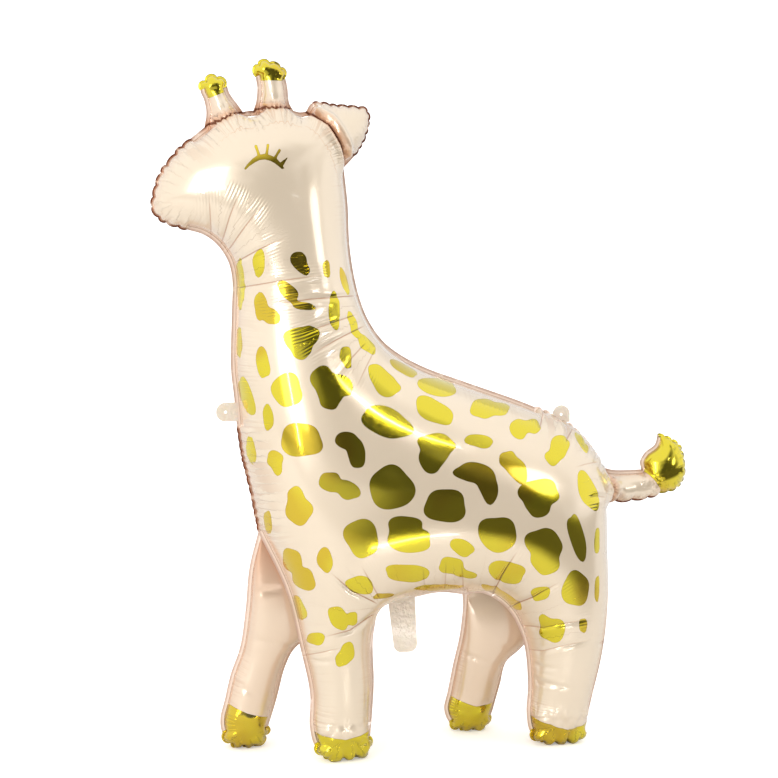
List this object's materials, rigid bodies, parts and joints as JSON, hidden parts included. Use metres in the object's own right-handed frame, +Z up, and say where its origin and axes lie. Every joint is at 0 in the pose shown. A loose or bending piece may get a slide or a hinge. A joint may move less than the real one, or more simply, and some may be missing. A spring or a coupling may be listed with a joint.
{
  "type": "foil balloon figure",
  "caption": "Standing giraffe foil balloon with welded rim, puckered seams, stubby horns, tufted tail, two eyelet tabs and a flat filling neck under the belly.",
  "frame": {"origin": "on the floor, under the middle of the balloon's bounding box", "axes": "+Z up from the soles to the horns, -X the way the giraffe faces, +X towards the tail, -Y the side of the two legs that stand further back"},
  "size_m": [0.8188, 0.2671, 1.0052],
  "materials": {
    "foil": "blush pearl foil with mirror gold print"
  },
  "bodies": {
    "root": {"balloon_envelope": "foil"}
  },
  "joints": []
}
